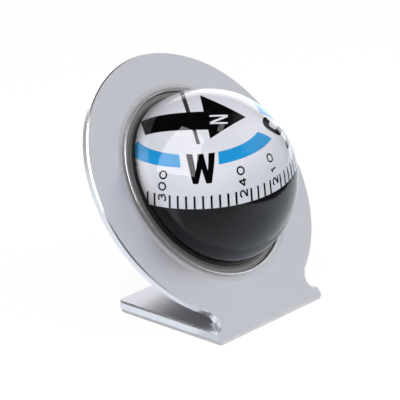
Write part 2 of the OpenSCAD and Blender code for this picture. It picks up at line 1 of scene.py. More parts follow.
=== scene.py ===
# %% [markdown]
# # A dashboard ball compass
# The frame comes from the CAD model: every solid is already at its true size and place.
# This lesson dresses it. It makes the clear dome, the white dial and the printing on it
# as surfaces worked out with numpy, gives every part a finish, and lights it softly.
# We load the frame first, because everything else is placed from it.

import math

import bmesh
import bpy
import numpy as np
from mathutils import Matrix, Vector


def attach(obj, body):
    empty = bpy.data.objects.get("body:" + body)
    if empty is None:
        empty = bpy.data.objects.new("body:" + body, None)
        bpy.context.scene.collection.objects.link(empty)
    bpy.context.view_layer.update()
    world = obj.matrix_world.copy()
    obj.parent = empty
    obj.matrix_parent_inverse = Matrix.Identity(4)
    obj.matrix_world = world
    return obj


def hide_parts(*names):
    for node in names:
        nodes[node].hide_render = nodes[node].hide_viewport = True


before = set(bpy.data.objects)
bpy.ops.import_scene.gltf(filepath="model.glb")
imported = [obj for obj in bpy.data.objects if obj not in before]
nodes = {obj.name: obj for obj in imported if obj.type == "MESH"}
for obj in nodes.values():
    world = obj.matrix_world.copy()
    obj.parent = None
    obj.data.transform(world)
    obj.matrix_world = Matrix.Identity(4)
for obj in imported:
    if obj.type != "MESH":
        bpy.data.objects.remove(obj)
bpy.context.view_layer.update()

# %% [markdown]
# ## The places that the new pieces share
# The face plate leans back, so its parts are easiest to describe in a frame of their own:
# X to the right, Y up the plate and Z straight out of the face. The dial has its own frame
# too, tilted as it hangs in its gimbal and turned to its heading. A frame is an origin and
# three axes; a point is moved by multiplying with the axes and adding the origin.

# %% Frames of the face and of the dial, in millimetres
MM = 0.001
LEAN = math.radians(54.6)
FACE_UP = 38.3
PAD_T, PAD_CLEAR, FOOT_D, PAD_INSET = 0.9, 0.1, 34.2, 0.3
PAD_MID = (PAD_T / math.tan(LEAN) + PAD_CLEAR + FOOT_D - PAD_INSET) / 2
GIMBAL_UP, GIMBAL_BACK = FACE_UP + 0.5, 1.5
PITCH, ROLL, HEADING = math.radians(1.1), math.radians(-4.8), math.radians(43)


def turn_x(a):
    """Matrix that turns points about X by the angle a."""
    return np.array([[1, 0, 0], [0, math.cos(a), -math.sin(a)], [0, math.sin(a), math.cos(a)]])


def turn_y(a):
    """Matrix that turns points about Y by the angle a."""
    return np.array([[math.cos(a), 0, math.sin(a)], [0, 1, 0], [-math.sin(a), 0, math.cos(a)]])


def turn_z(a):
    """Matrix that turns points about Z by the angle a."""
    return np.array([[math.cos(a), -math.sin(a), 0], [math.sin(a), math.cos(a), 0], [0, 0, 1]])


face_axes = turn_x(LEAN)
face_origin = np.array([0, -PAD_MID, 0]) + face_axes @ np.array([0, FACE_UP, 0])
gimbal_origin = np.array([0, -PAD_MID, 0]) + face_axes @ np.array([0, GIMBAL_UP, -GIMBAL_BACK])
dial_axes = turn_x(PITCH) @ turn_y(ROLL) @ turn_z(HEADING)
print("face centre", face_origin.round(2), "gimbal centre", gimbal_origin.round(2))

# %% [markdown]
# ## From arrays to a mesh
# A surface here is a grid of points, so its faces are quads between neighbours in the grid.
# One function makes those quads, and one puts points and quads into an object. Points that
# fall together, at a pole or a seam, are welded, and then the faces are turned outwards.
# The place goes into the mesh, and the object itself stays at the origin.

# %% Grids, lathe and mesh helpers
AROUND, WELD = 192, 1e-7


def grid_quads(index):
    """Quads of a grid of point numbers: each joins a point, its right, diagonal and lower one."""
    corners = [index[:-1, :-1], index[:-1, 1:], index[1:, 1:], index[1:, :-1]]
    return np.stack(corners, axis=-1).reshape(-1, 4)


def lathe(profile):
    """Turns (radius, height) pairs about Z: x = radius cos a, y = radius sin a, z = height."""
    angle = np.linspace(0, 2 * math.pi, AROUND + 1)
    radius, height = profile[:, :1], profile[:, 1:]
    points = np.stack([radius * np.cos(angle), radius * np.sin(angle), height + 0 * angle], -1)
    index = np.arange(len(profile) * (AROUND + 1)).reshape(len(profile), AROUND + 1)
    return points.reshape(-1, 3), grid_quads(index)


def arc(centre, radius, start, end, steps):
    """Points at centre + radius (cos a, sin a), for a from start to end in degrees."""
    a = np.radians(np.linspace(start, end, steps))
    return np.stack([centre[0] + radius * np.cos(a), centre[1] + radius * np.sin(a)], -1)


def make(name, points, quads, body, crease=30):
    """A mesh object from points in millimetres, welded, facing outwards and smooth up to a crease angle."""
    mesh = bpy.data.meshes.new(name)
    mesh.from_pydata((points * MM).tolist(), [], quads.tolist())
    work = bmesh.new()
    work.from_mesh(mesh)
    bmesh.ops.remove_doubles(work, verts=work.verts, dist=WELD)
    bmesh.ops.recalc_face_normals(work, faces=work.faces)
    work.to_mesh(mesh)
    work.free()
    mesh.shade_smooth()
    mesh.set_sharp_from_angle(angle=math.radians(crease))
    piece = bpy.data.objects.new(name, mesh)
    bpy.context.scene.collection.objects.link(piece)
    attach(piece, body)
    print(name, len(mesh.polygons), "faces")
    return piece


# %% [markdown]
# ## The clear dome
# On the real compass the dome is one acrylic moulding: a half ball on a short straight wall,
# a flat shoulder that fills the hole in the plate, and a flange that seals it at the back.
# It could be a sphere with a Solidify modifier, but the wall's two faces need different
# finishes, because outside is air and inside is liquid. So its whole section is drawn as one
# line, from the outer pole, round the flange, and back up inside to the inner pole.

# %% Make the dome
DOME_R, WALL, FORWARD = 22.3, 1.5, 0.6
SHOULDER_R, SHOULDER_Z, FLANGE_R = 24.0, -0.2, 27.0
FLANGE_TOP, FLANGE_LOW, FILLET = -2.5, -4.5, 0.5
outer_line = np.vstack([
    arc((0, FORWARD), DOME_R, 90, 0, 72),
    arc((DOME_R + FILLET, SHOULDER_Z + FILLET), FILLET, 180, 270, 8),
    arc((SHOULDER_R - 0.15, SHOULDER_Z - 0.15), 0.15, 90, 0, 5),
    [[SHOULDER_R, FLANGE_TOP], [FLANGE_R, FLANGE_TOP], [FLANGE_R, FLANGE_LOW]],
])
inner_line = np.vstack([
    [[DOME_R - WALL, FLANGE_LOW]],
    arc((0, FORWARD), DOME_R - WALL, 0, 90, 72),
])
dome_points, dome_quads = lathe(np.vstack([outer_line, inner_line]))
dome = make("dome", dome_points @ face_axes.T + face_origin, dome_quads, "base")
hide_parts("front_dome")

# %% [markdown]
# ## The dial
# The dial is a thin white cap shaped like a squared-off ball: its section follows
# (r / A)^4 + (z / H)^4 = 1, which is nearly flat on top and nearly upright at the side.
# That formula also gives its normal, so the printing can later be laid exactly on it.

# %% Make the dial's shell
CAP_A, CAP_H, CAP_WALL, SKIRT = 17.4, 12.1, 0.8, 0.7
BORE_R, BOSS_R, BORE_TOP, BOSS_LOW = 1.4, 2.0, 10.95, 9.6


def cap_height(radius, a=CAP_A, h=CAP_H):
    """Height of the cap at a radius: h times the fourth root of 1 - (radius / a)^4."""
    return h * np.clip(1 - (radius / a) ** 4, 0, 1) ** 0.25


def cap_radius(height, a=CAP_A, h=CAP_H):
    """Radius of the cap at a height, the same formula the other way round."""
    return a * np.clip(1 - (height / h) ** 4, 0, 1) ** 0.25


def cap_line(a, h, low, steps):
    """The cap's section from its lower edge to its crown, evenly spread by the angle atan2(z, r)."""
    first = math.atan2(low, float(cap_radius(low, a, h)))
    t = np.linspace(first, math.pi / 2, steps)
    reach = ((np.abs(np.cos(t)) / a) ** 4 + (np.sin(t) / h) ** 4) ** -0.25
    return np.stack([reach * np.cos(t), reach * np.sin(t)], -1)


cap_outer = cap_line(CAP_A, CAP_H, SKIRT, 90)
cap_inner = cap_line(CAP_A - CAP_WALL, CAP_H - CAP_WALL, SKIRT, 60)
cap_inner = cap_inner[cap_inner[:, 0] > BOSS_R]
boss_top = float(cap_height(BOSS_R, CAP_A - CAP_WALL, CAP_H - CAP_WALL))
boss_line = [[BOSS_R, boss_top], [BOSS_R, BOSS_LOW], [BORE_R, BOSS_LOW], [BORE_R, BORE_TOP], [0, BORE_TOP]]
cap_points, cap_quads = lathe(np.vstack([cap_outer[::-1], cap_inner, boss_line]))


def on_dial(points):
    """Moves points from the dial's own frame to the scene's."""
    return points @ dial_axes.T + gimbal_origin


dial_shell = make("dial_shell", on_dial(cap_points), cap_quads, "card")
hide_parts("dial_cap")

# %% [markdown]
# ## Printing as thin films
# The dial's marks are pad-printed ink. A picture texture would blur, so each mark is a strip
# of ink a few hundredths of a millimetre thick: two edge lines, filled in between, laid on the
# cap by its formula. A strip has a top, a bottom and four sides, so it is a closed solid.

# %% Strips of ink on the cap
INK_LIFT, INK_SINK = 0.03, 0.02


def lift(points, amount):
    """Moves points along the cap's outward normal, (r^3 / A^4, z^3 / H^4) made one long."""
    radius = np.hypot(points[..., 0], points[..., 1])
    out = radius ** 3 / CAP_A ** 4
    up = points[..., 2] ** 3 / CAP_H ** 4
    length = np.hypot(out, up)
    direction = np.stack([points[..., 0] / radius * out, points[..., 1] / radius * out, up], -1)
    return points + amount * direction / length[..., None]


def on_top(flat):
    """Lays flat (x, y) points straight down on the cap's top."""
    radius = np.maximum(np.hypot(flat[..., 0], flat[..., 1]), 1e-6)
    return np.stack([flat[..., 0], flat[..., 1], cap_height(radius)], -1)


def on_side(flat, azimuth):
    """Presses (right, height) points flat against the cap's side, at an azimuth in degrees."""
    a = math.radians(azimuth)
    right, height = flat[..., 0], flat[..., 1]
    out = np.sqrt(cap_radius(height) ** 2 - right ** 2)
    x = out * math.sin(a) - right * math.cos(a)
    y = out * math.cos(a) + right * math.sin(a)
    return np.stack([x, y, height], -1)


def strip(left, right, lay, rise=0.0, across=5):
    """A closed strip of ink between two edge lines: their blend at `across` steps, laid on the cap twice."""
    blend = np.linspace(0, 1, across)[None, :, None]
    surface = lay(left[:, None] * (1 - blend) + right[:, None] * blend)
    upper, lower = lift(surface, INK_LIFT + rise), lift(surface, -INK_SINK)
    points = np.concatenate([upper.reshape(-1, 3), lower.reshape(-1, 3)])
    top = np.arange(surface.shape[0] * across).reshape(-1, across)
    low = top + top.size
    walls = [np.stack([top[0], low[0]]), np.stack([top[-1], low[-1]]),
             np.stack([top[:, 0], low[:, 0]]), np.stack([top[:, -1], low[:, -1]])]
    return points, np.concatenate([grid_quads(g) for g in [top, low, *walls]])


def stroke(line, width):
    """Edge lines at half the width to each side of a line, along its own normal."""
    along = np.gradient(line, axis=0)
    normal = np.stack([-along[:, 1], along[:, 0]], -1) / np.hypot(along[:, 0], along[:, 1])[:, None]
    return line + normal * width / 2, line - normal * width / 2


def segment(start, end, steps=8):
    """Evenly spaced points from start to end."""
    t = np.linspace(0, 1, steps)[:, None]
    return np.array(start) * (1 - t) + np.array(end) * t


def print_on_dial(name, strips):
    """Joins strips of ink into one piece that turns with the dial."""
    offsets = np.cumsum([0] + [len(p) for p, _ in strips[:-1]])
    points = np.concatenate([p for p, _ in strips])
    quads = np.concatenate([q + o for (_, q), o in zip(strips, offsets)])
    return make(name, on_dial(points), quads, "card", 50)


# %% [markdown]
# ## Arrow, cross line and the four arcs
# The dial's top carries a broad black arrow that points at the reader's north, a thin grey
# line across it, and four blue arcs. Each arc's ends are cut square to leave a gap for a
# letter, so its ends sit at one distance from the axis, whatever the radius. As pad printing
# often is, the ring of arcs is a little off the dial's middle.

# %% Print the marks on the top
ARROW_END = np.array([[3.28, 10.5], [-2.48, 10.5]])
ARROW_NECK = np.array([[2.72, -1.39], [-3.82, -2.02]])
ARROW_BARB = np.array([[7.75, -1.2], [-7.29, -2.3]])
ARROW_TIP = np.array([0.9, -9.15])
IN_HEAD = np.array([0.0, -0.5])
shaft = strip(segment(ARROW_END[0], ARROW_NECK[0] + IN_HEAD, 24),
              segment(ARROW_END[1], ARROW_NECK[1] + IN_HEAD, 24), on_top, 0.004, 9)
head = strip(segment(ARROW_BARB[0], ARROW_TIP, 16), segment(ARROW_BARB[1], ARROW_TIP, 16), on_top, 0.006, 13)
north_arrow = print_on_dial("north_arrow", [shaft, head])

cross_line = print_on_dial("cross_line", [
    strip(*stroke(segment((9.6, 1.67), (-9.09, 0.17), 40), 0.7), on_top, -0.004, 3)])

N_LEFT, N_RIGHT, N_LOW, N_TOP, N_BAR, N_SLANT = 1.4, -1.75, -2.5, -5.8, 0.55, 0.8
n_first, n_last = N_LEFT - N_BAR / 2, N_RIGHT + N_BAR / 2
arrow_letter = print_on_dial("arrow_letter", [
    strip(*stroke(segment((n_first, N_LOW), (n_first, N_TOP)), N_BAR), on_top, 0.012),
    strip(*stroke(segment((n_last, N_LOW), (n_last, N_TOP)), N_BAR), on_top, 0.014),
    strip(segment((N_LEFT, N_TOP), (N_RIGHT + N_SLANT, N_LOW)),
          segment((N_LEFT - N_SLANT, N_TOP), (N_RIGHT, N_LOW)), on_top, 0.016)])

ARC_IN, ARC_OUT, ARC_GAPS, ARC_SHIFT = 12.6, 15.4, (4.1, 3.55), 0.35


def arc_edge(radius, quarter):
    """Points on a circle from one gap to the next: wide gaps lie at E and W, narrow ones at N and S."""
    gaps = [math.degrees(math.asin(gap / radius)) for gap in ARC_GAPS]
    start, end = gaps[quarter % 2], gaps[1 - quarter % 2]
    return arc((0, ARC_SHIFT), radius, quarter * 90 + start, quarter * 90 + 90 - end, 40)


blue_arcs = print_on_dial("blue_arcs", [
    strip(arc_edge(ARC_OUT, k), arc_edge(ARC_IN, k), on_top, 0.0, 13) for k in range(4)])

# %% [markdown]
# ## Letters on the side
# The four letters are bold and upright, pressed flat against the curved side. W, N and E
# are straight bars, each between two edge lines. S is one stroke made of two squared arcs, and
# so that it isn't squashed near the crown, its heights are measured along the cap's curve.
# It stands a little off due south, as far as the picture shows it.

# %% Print the four letters
LETTER_TOP, LETTER_LOW = 11.2, 6.3
curve_height = np.linspace(0, CAP_H - 0.2, 600)
curve_steps = np.hypot(np.diff(curve_height), np.diff(cap_radius(curve_height)))
curve_length = np.concatenate([[0], np.cumsum(curve_steps)])


def bar(top_left, top_right, low_left, low_right, top=LETTER_TOP, low=LETTER_LOW):
    """Edge lines of a straight bar, given where its four corners are from left to right."""
    return segment((top_left, top), (low_left, low), 14), segment((top_right, top), (low_right, low), 14)


letter_w = [bar(-3.03, -1.7, -2.03, -0.86), bar(-0.62, 0.62, -2.03, -0.86),
            bar(-0.62, 0.62, 0.86, 2.03), bar(1.7, 3.03, 0.86, 2.03)]
letter_n = [bar(-1.9, -0.75, -1.9, -0.75), bar(0.75, 1.9, 0.75, 1.9), bar(-1.9, -0.6, 0.6, 1.9)]
letter_e = [bar(-1.7, -0.5, -1.7, -0.5), bar(-0.5, 1.7, -0.5, 1.7, LETTER_TOP, LETTER_TOP - 1),
            bar(-0.5, 1.4, -0.5, 1.4, 9.25, 8.3), bar(-0.5, 1.7, -0.5, 1.7, LETTER_LOW + 1, LETTER_LOW)]
S_WIDE, S_STROKE, S_LOW, S_TOP, S_SQUARE = 1.75, 1.4, 5.6, 11.2, 0.85
s_low, s_top = np.interp([S_LOW, S_TOP], curve_height, curve_length)
middle, bowl = (s_top + s_low) / 2, (s_top - s_low - S_STROKE) / 4


def s_half(start, end, up):
    """Half of the S: a squared ellipse, whose cosines and sines are raised to a power below one."""
    turn = arc((0, 0), 1, start, end, 30)
    return np.sign(turn) * np.abs(turn) ** S_SQUARE * [S_WIDE, bowl] + [0, middle + up]


upper, lower = s_half(40, 270, bowl), s_half(90, -140, -bowl)
letter_s = [tuple(np.stack([edge[:, 0], np.interp(edge[:, 1], curve_length, curve_height)], -1)
                  for edge in stroke(np.vstack([upper[:-1], lower]), S_STROKE))]
S_AZIMUTH = 175.5
letters = {270: letter_w, S_AZIMUTH: letter_s, 0: letter_n, 90: letter_e}
cardinal_letters = print_on_dial("cardinal_letters", [
    strip(left, right, lambda flat, a=azimuth: on_side(flat, a), 0.002 * k)
    for azimuth, shapes in letters.items() for k, (left, right) in enumerate(shapes)])

# %% [markdown]
# ## Ticks and degree numbers
# A tick stands every six degrees round the skirt. Every thirty degrees a number takes the
# tick's place and reads upwards, towards the crown. Each digit is drawn as a few pen lines in
# a one by one box; distances up the cap are measured along its curve, not straight up.

# %% Print the ticks and numbers
TICK_W, TICK_LOW, TICK_TOP = 0.46, SKIRT + 0.02, 3.6
DIGIT_W, DIGIT_H, PITCH_UP, FIRST, PEN = 1.62, 1.6, 2.5, 2.05, 0.36
tick = stroke(segment((0, TICK_LOW), (0, TICK_TOP)), TICK_W)
number_at = [v for v in range(30, 360, 30) if v % 90]
degree_ticks = print_on_dial("degree_ticks", [
    strip(*tick, lambda flat, a=azimuth: on_side(flat, a), 0.0, 3)
    for azimuth in range(0, 360, 6) if azimuth not in number_at])


def oval(x, y, rx, ry, start, end, steps=22):
    """Part of an ellipse about (x, y), from one angle to another in degrees."""
    return arc((0, 0), 1, start, end, steps) * [rx, ry] + [x, y]


pen_lines = {
    "0": [oval(0.5, 0.5, 0.5, 0.5, 0, 360, 36)],
    "1": [segment((0.55, 0), (0.55, 1)), segment((0.2, 0.72), (0.6, 0.98), 4)],
    "2": [np.vstack([oval(0.48, 0.7, 0.44, 0.3, 165, -35), segment((0.78, 0.46), (0.05, 0.02), 6)[1:]]),
          segment((0, 0), (1, 0))],
    "3": [oval(0.45, 0.76, 0.4, 0.24, 150, -90), oval(0.45, 0.27, 0.48, 0.27, 90, -150)],
    "4": [segment((0.72, 1), (0, 0.3)), segment((-0.03, 0.3), (1, 0.3)), segment((0.72, 1.04), (0.72, 0))],
    "5": [segment((0.9, 1), (0.2, 1)), segment((0.2, 1.04), (0.1, 0.5), 5),
          oval(0.45, 0.33, 0.5, 0.34, 140, -150)],
    "6": [oval(0.5, 0.3, 0.48, 0.3, 0, 360, 30), oval(0.98, 0.3, 0.96, 0.72, 115, 180, 14)],
}


def number_strips(value):
    """Strips of a number that reads upwards: x of a digit runs up the curve, y towards higher degrees."""
    made = []
    for place, digit in enumerate(str(value)):
        for k, line in enumerate(pen_lines[digit]):
            drawn = (line - [0, 0.5]) * [DIGIT_W, DIGIT_H]
            start = FIRST + place * PITCH_UP
            laid = [np.stack([-e[:, 1], np.interp(e[:, 0] + start, curve_length, curve_height)], -1)
                    for e in stroke(drawn, PEN)]
            made.append(strip(*laid, lambda flat, a=value: on_side(flat, a), 0.002 * k, 3))
    return made


degree_numbers = print_on_dial("degree_numbers", [s for v in number_at for s in number_strips(v)])

# %% [markdown]
# ## A small tool for finishes
# A finish is a small network of nodes. Writing it as links is long, so one class wraps a
# socket: adding or multiplying two of them adds a Math node, and any other node comes from
# the method `node`, which takes its type, its settings and what goes into its sockets.

# %% The wire class
class Wire:
    """One socket of a node tree, on which Python's own operators add Math nodes."""

    def __init__(self, tree, socket=None):
        self.tree, self.socket = tree, socket

    def node(self, kind, settings=None, sockets=None, out=0):
        """Adds a node, sets it up, fills its sockets with values or links, and returns one output."""
        made = self.tree.nodes.new(kind)
        for key, value in (settings or {}).items():
            if key == "stops":
                while len(made.color_ramp.elements) < len(value):
                    made.color_ramp.elements.new(0.5)
                for element, (position, colour) in zip(made.color_ramp.elements, value):
                    element.position, element.color = position, colour
            else:
                setattr(made, key, value)
        for key, value in (sockets or {}).items():
            if isinstance(value, Wire):
                self.tree.links.new(value.socket, made.inputs[key])
            else:
                made.inputs[key].default_value = value
        return Wire(self.tree, made.outputs[out]) if len(made.outputs) else Wire(self.tree)

    def math(self, operation, *others):
        """A Math node on this wire and, if the operation takes more, on other wires or numbers."""
        return self.node("ShaderNodeMath", {"operation": operation}, dict(enumerate((self, *others))))

    def __add__(self, other):
        return self.math("ADD", other)

    def __radd__(self, other):
        return self.math("ADD", other)

    def __sub__(self, other):
        return self.math("SUBTRACT", other)

    def __rsub__(self, other):
        return self * -1.0 + other

    def __mul__(self, other):
        return self.math("MULTIPLY", other)

    def __rmul__(self, other):
        return self.math("MULTIPLY", other)

    def __lt__(self, other):
        return self.math("LESS_THAN", other)

    def dot(self, direction):
        """How far this vector reaches along a fixed direction."""
        return self.node("ShaderNodeVectorMath", {"operation": "DOT_PRODUCT"}, {0: self, 1: direction}, 1)

    def between(self, low, high, to_low=0.0, to_high=1.0):
        """Maps low..high to to_low..to_high, smoothly and without overshoot."""
        return self.node("ShaderNodeMapRange", {"interpolation_type": "SMOOTHSTEP"}, {
            "Value": self, "From Min": low, "From Max": high, "To Min": to_low, "To Max": to_high})

    def blend(self, first, second):
        """A colour between two colours, by this wire from 0 to 1."""
        return self.node("ShaderNodeMix", {"data_type": "RGBA"}, {"Factor": self, 6: first, 7: second}, 2)


def start_finish(name):
    """A new material, an empty wire to build with, and its object coordinates in metres."""
    made = bpy.data.materials.new(name)
    made.use_nodes = True
    made.node_tree.nodes.clear()
    wire = Wire(made.node_tree)
    return made, wire, wire.node("ShaderNodeTexCoord", out=3)


def noise(coords, size, detail=3.0):
    """Smooth noise from 0 to 1 whose features are about `size` millimetres."""
    return coords.node("ShaderNodeTexNoise", None, {
        "Vector": coords, "Scale": 1 / (size * MM), "Detail": detail})


def end_finish(made, shader):
    """Joins a shader to the material's output."""
    shader.node("ShaderNodeOutputMaterial", None, {"Surface": shader})
    return made


def face_radius(coords):
    """Distance in millimetres from the face's axis: the length of the two parts that lie in the face."""
    right = coords.dot((1, 0, 0)) * 1000.0
    up = coords.dot(tuple(face_axes[:, 1])) * 1000.0 - float(face_origin @ face_axes[:, 1])
    return (right * right + up * up).math("SQRT")


def bump(coords, height, depth):
    """A Bump node whose height map is `depth` millimetres high."""
    return coords.node("ShaderNodeBump", None, {"Height": height, "Strength": 1.0, "Distance": depth * MM})


# %% [markdown]
# ## The stand's silver
# The stand is cast metal. Its flat faces are sprayed a satin silver, half paint and half
# metal to the eye, with a fine grain; its edges and the raised lip were polished, so they
# are glossier, and their base colour is made lighter, partly for the polish and partly as
# painted highlight for the light that falls on the sides. What tells an edge from a face is
# the direction it faces: a flat part of the stand looks straight out of the plate or straight
# up or down, and an edge doesn't.

# %% Satin silver with polished edges and painted highlight on them
satin_silver, wire, coords = start_finish("satin_silver")
outward = wire.node("ShaderNodeTexCoord", out=1)
flat = outward.dot(tuple(face_axes[:, 2])).math("ABSOLUTE")
flat = flat.math("MAXIMUM", outward.dot((0, 0, 1)).math("ABSOLUTE")).between(0.94, 0.985)
clouds, grain = noise(coords, 9.0), noise(coords, 0.35, 2.0)
sprayed = clouds.between(0.2, 0.8).blend((0.72, 0.73, 0.79, 1), (0.7, 0.71, 0.77, 1))
# Edges and side walls get a lighter base colour than the faces: partly their polish, partly painted highlight
# for the light that falls on the sides.
silver = wire.node("ShaderNodeBsdfPrincipled", None, {
    "Base Color": flat.blend((0.9, 0.9, 0.93, 1), sprayed),
    "Metallic": flat.between(0, 1, 0.9, 0.75),
    "Roughness": flat.between(0, 1, 0.26, 0.36) + (grain - 0.5) * 0.06,
    "Normal": bump(coords, grain, 0.002),
})
end_finish(satin_silver, silver)

# %% [markdown]
# ## Steel, brass and iron
# Fasteners and gimbal parts are turned metal, whose colour and gloss drift a little. They
# are the same recipe with other numbers, so one function makes them.

# %% Metal finishes
def metal(name, light, dark, rough_low, rough_high, grain, depth, cloud):
    """Metal whose colour and gloss drift with a cloud and whose grain is a fine bump, sizes in mm."""
    made, wire, coords = start_finish(name)
    clouds = noise(coords, cloud, 4.0)
    fine = noise(coords, grain, 2.0)
    shader = wire.node("ShaderNodeBsdfPrincipled", None, {
        "Base Color": clouds.between(0.3, 0.7).blend(light, dark),
        "Metallic": 1.0,
        "Roughness": (clouds * 0.5 + fine * 0.5).between(0.3, 0.7, rough_low, rough_high),
        "Normal": bump(coords, fine, depth),
    })
    return end_finish(made, shader)


steel = metal("steel", (0.62, 0.62, 0.64, 1), (0.5, 0.5, 0.52, 1), 0.18, 0.3, 0.15, 0.003, 1.5)
brass = metal("brass", (0.78, 0.6, 0.28, 1), (0.66, 0.48, 0.2, 1), 0.2, 0.34, 0.2, 0.003, 2.5)
magnet_iron = metal("magnet_iron", (0.33, 0.33, 0.35, 1), (0.22, 0.22, 0.24, 1), 0.35, 0.55, 0.25, 0.01, 2.0)

# %% [markdown]
# ## Plastics, rubber and foam
# A moulded part differs from a metal one in two things: it isn't metallic, and its colour
# hardly moves. What tells gloss plastic, matt plastic, rubber and foam apart is roughness
# and the size and depth of the bump. The dial and the bowl lie in a liquid that bends light
# nearly as much as they do, so their own surfaces hardly shine: their index is near 1.

# %% Plastic, rubber and foam finishes
IN_AIR, IN_LIQUID = 1.5, 1.01


def moulded(name, light, dark, rough_low, rough_high, grain, depth, index=IN_AIR):
    """Plastic, rubber or foam: a faint cloud in colour, and a bump of the given grain."""
    made, wire, coords = start_finish(name)
    clouds = noise(coords, grain * 6)
    fine = noise(coords, grain, 2.0)
    shader = wire.node("ShaderNodeBsdfPrincipled", None, {
        "Base Color": clouds.between(0.3, 0.7).blend(light, dark),
        "Roughness": fine.between(0.25, 0.75, rough_low, rough_high),
        "IOR": index,
        "Normal": bump(coords, fine, depth),
    })
    return end_finish(made, shader)


white_foam = moulded("white_foam", (0.86, 0.86, 0.88, 1), (0.78, 0.78, 0.8, 1), 0.7, 0.9, 0.3, 0.05)
black_foam = moulded("black_foam", (0.03, 0.03, 0.032, 1), (0.018, 0.018, 0.02, 1), 0.75, 0.95, 0.3, 0.05)
black_rubber = moulded("black_rubber", (0.03, 0.03, 0.03, 1), (0.018, 0.018, 0.018, 1), 0.5, 0.7, 0.4, 0.01)
black_plastic = moulded("black_plastic", (0.012, 0.012, 0.014, 1), (0.008, 0.008, 0.009, 1),
                        0.12, 0.22, 0.8, 0.002)
matt_black = moulded("matt_black", (0.025, 0.025, 0.027, 1), (0.016, 0.016, 0.018, 1), 0.4, 0.58, 0.3, 0.008)
cream_foam = moulded("cream_foam", (0.74, 0.69, 0.55, 1), (0.64, 0.59, 0.45, 1), 0.7, 0.9, 0.25, 0.03)
wet_black = moulded("wet_black", (0.003, 0.003, 0.004, 1), (0.002, 0.002, 0.0028, 1),
                    0.3, 0.4, 0.8, 0.002, IN_LIQUID)
white_plastic = moulded("white_plastic", (0.79, 0.795, 0.85, 1), (0.77, 0.775, 0.83, 1),
                        0.3, 0.42, 0.8, 0.002, IN_LIQUID)
black_ink = moulded("black_ink", (0.002, 0.002, 0.0028, 1), (0.0014, 0.0014, 0.002, 1),
                    0.35, 0.5, 0.4, 0.001, IN_LIQUID)
blue_ink = moulded("blue_ink", (0.02, 0.33, 0.72, 1), (0.017, 0.31, 0.69, 1),
                   0.35, 0.5, 0.4, 0.001, IN_LIQUID)
grey_ink = moulded("grey_ink", (0.035, 0.035, 0.04, 1), (0.028, 0.028, 0.032, 1),
                   0.35, 0.5, 0.4, 0.001, IN_LIQUID)
white_ink = moulded("white_ink", (0.8, 0.8, 0.84, 1), (0.77, 0.77, 0.81, 1), 0.35, 0.5, 0.4, 0.001, IN_LIQUID)

# %% [markdown]
# ## Clear acrylic, liquid and a jewel
# Light bends where it passes from air to acrylic, and again, slightly, where it passes from
# acrylic to the liquid inside. So the dome has two finishes: its outer faces use the index of
# acrylic, and its inner faces use the ratio of the two indices. Glass keeps lamps from
# lighting what is behind it, so shadow rays are let straight through.

# %% Glass finishes
def clear(name, tint, index, rough=0.0):
    """Clear material of a refractive index, which lets shadow rays through."""
    made, wire, coords = start_finish(name)
    haze = noise(coords, 5.0, 2.0)
    glass = wire.node("ShaderNodeBsdfPrincipled", None, {
        "Base Color": haze.between(0.3, 0.7).blend(tint, (*[min(1, c * 1.01) for c in tint[:3]], 1)),
        "Roughness": rough, "IOR": index, "Transmission Weight": 1.0,
    })
    through = wire.node("ShaderNodeBsdfTransparent", None, {"Color": tint})
    shadow = wire.node("ShaderNodeLightPath", out=1)
    return end_finish(made, wire.node("ShaderNodeMixShader", None, {0: shadow, 1: glass, 2: through}))


ACRYLIC, LIQUID = 1.49, 1.45
clear_acrylic = clear("clear_acrylic", (0.985, 0.985, 0.99, 1), ACRYLIC)
acrylic_to_liquid = clear("acrylic_to_liquid", (0.99, 0.99, 0.995, 1), ACRYLIC / LIQUID)
red_jewel = clear("red_jewel", (0.7, 0.05, 0.12, 1), 1.76, 0.02)

# %% [markdown]
# ## The dome's shoulder and foot
# Only the ball of the dome is polished. Its shoulder and flange keep the fine turning marks of
# the mould, so they look grey and a little milky; next to the ball the shoulder is darker, which is
# painted shade in the corner at the ball's foot. Inside, the foot is coated black: a dark band
# that stands in for the shade deep in the plate's hole; it also hides the seal behind it and keeps
# light from passing there. The rings are a wave that runs with the distance from the axis.

# %% Shoulder and foot finishes
dome_shoulder, wire, coords = start_finish("dome_shoulder")
from_middle = face_radius(coords)
ring = (from_middle * 9.0).math("SINE") * 0.5 + 0.5
ring = ring * 0.6 + noise(coords, 1.5) * 0.4
# Next to the ball the colour goes to dark grey: painted shade in the corner at the ball's foot. Further out
# are the grey turning rings.
milky_with_painted_shade = wire.node("ShaderNodeBsdfPrincipled", None, {
    "Base Color": from_middle.between(DOME_R + 0.1, SHOULDER_R - 0.4).blend(
        (0.1, 0.1, 0.1, 1), ring.blend((0.19, 0.185, 0.18, 1), (0.3, 0.295, 0.29, 1))),
    "Roughness": ring.between(0, 1, 0.22, 0.4),
    "IOR": ACRYLIC,
    "Normal": bump(coords, ring, 0.01),
})
end_finish(dome_shoulder, milky_with_painted_shade)
# The dome's inner foot is coated black: a dark band standing in for the shade deep in the plate's hole, which
# also blocks light there.
foot_shade_band = moulded("foot_shade_band", (0.02, 0.02, 0.022, 1), (0.014, 0.014, 0.016, 1),
                     0.4, 0.6, 0.5, 0.002, IN_LIQUID)

# %% [markdown]
# ## Every part gets its finish
# The dome's faces are sorted by where they are. A face whose middle is nearer to the dome's
# centre than the middle of the wall, or inside the bore behind it, belongs to the inner side,
# and there it is foot if it lies below the ball. Outside, what lies beyond the wall is shoulder.

